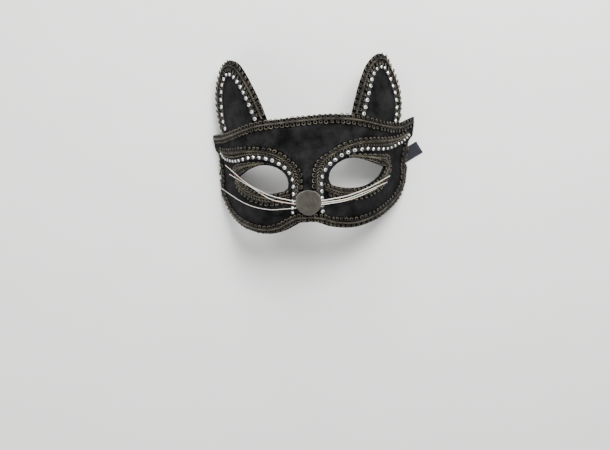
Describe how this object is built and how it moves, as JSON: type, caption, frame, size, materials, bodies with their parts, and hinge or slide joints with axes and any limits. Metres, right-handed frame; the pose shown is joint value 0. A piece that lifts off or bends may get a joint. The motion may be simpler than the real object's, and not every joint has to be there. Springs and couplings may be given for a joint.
{
  "type": "cat eye mask",
  "caption": "Half mask in the shape of a cat's face: a curved velvet shell with two ears, eye holes, gimp braid, rows of small round stones, a felt nose, whiskers and tie ribbons.",
  "frame": {"origin": "on the surface that the mask lies on, under the middle of its overall width and height", "axes": "+X across the face towards the viewer's right, +Y up the face towards the ears, +Z out of the face, away from the wearer"},
  "size_m": [0.1613, 0.1318, 0.0762],
  "materials": {
    "velvet": "short cotton velvet over a moulded shell, near black, matte with a soft sheen at grazing angles",
    "braid": "looped gimp braid of twisted rayon cord, charcoal, slightly lustrous",
    "crystal": "faceted foil-backed glass stones on a narrow dark tape, bright",
    "felt": "pressed wool felt, olive grey, matte",
    "bristle": "clear white nylon bristle, glossy",
    "satin": "single face satin ribbon, navy black, soft gloss"
  },
  "bodies": {
    "root": {"mask_shell": "velvet", "top_edge_braid": "braid", "lower_edge_braid": "braid", "brow_braid_left": "braid", "brow_braid_right": "braid", "eye_braid_left": "braid", "eye_braid_right": "braid", "ear_braid_left": "braid", "ear_braid_right": "braid", "brow_stones_left": "crystal", "brow_stones_right": "crystal", "ear_stones_left": "crystal", "ear_stones_right": "crystal", "nose_pad": "felt", "whisker_left_1": "bristle", "whisker_left_2": "bristle", "whisker_left_3": "bristle", "whisker_right_1": "bristle", "whisker_right_2": "bristle", "whisker_right_3": "bristle", "tie_ribbon_left": "satin", "tie_ribbon_right": "satin"}
  },
  "joints": []
}
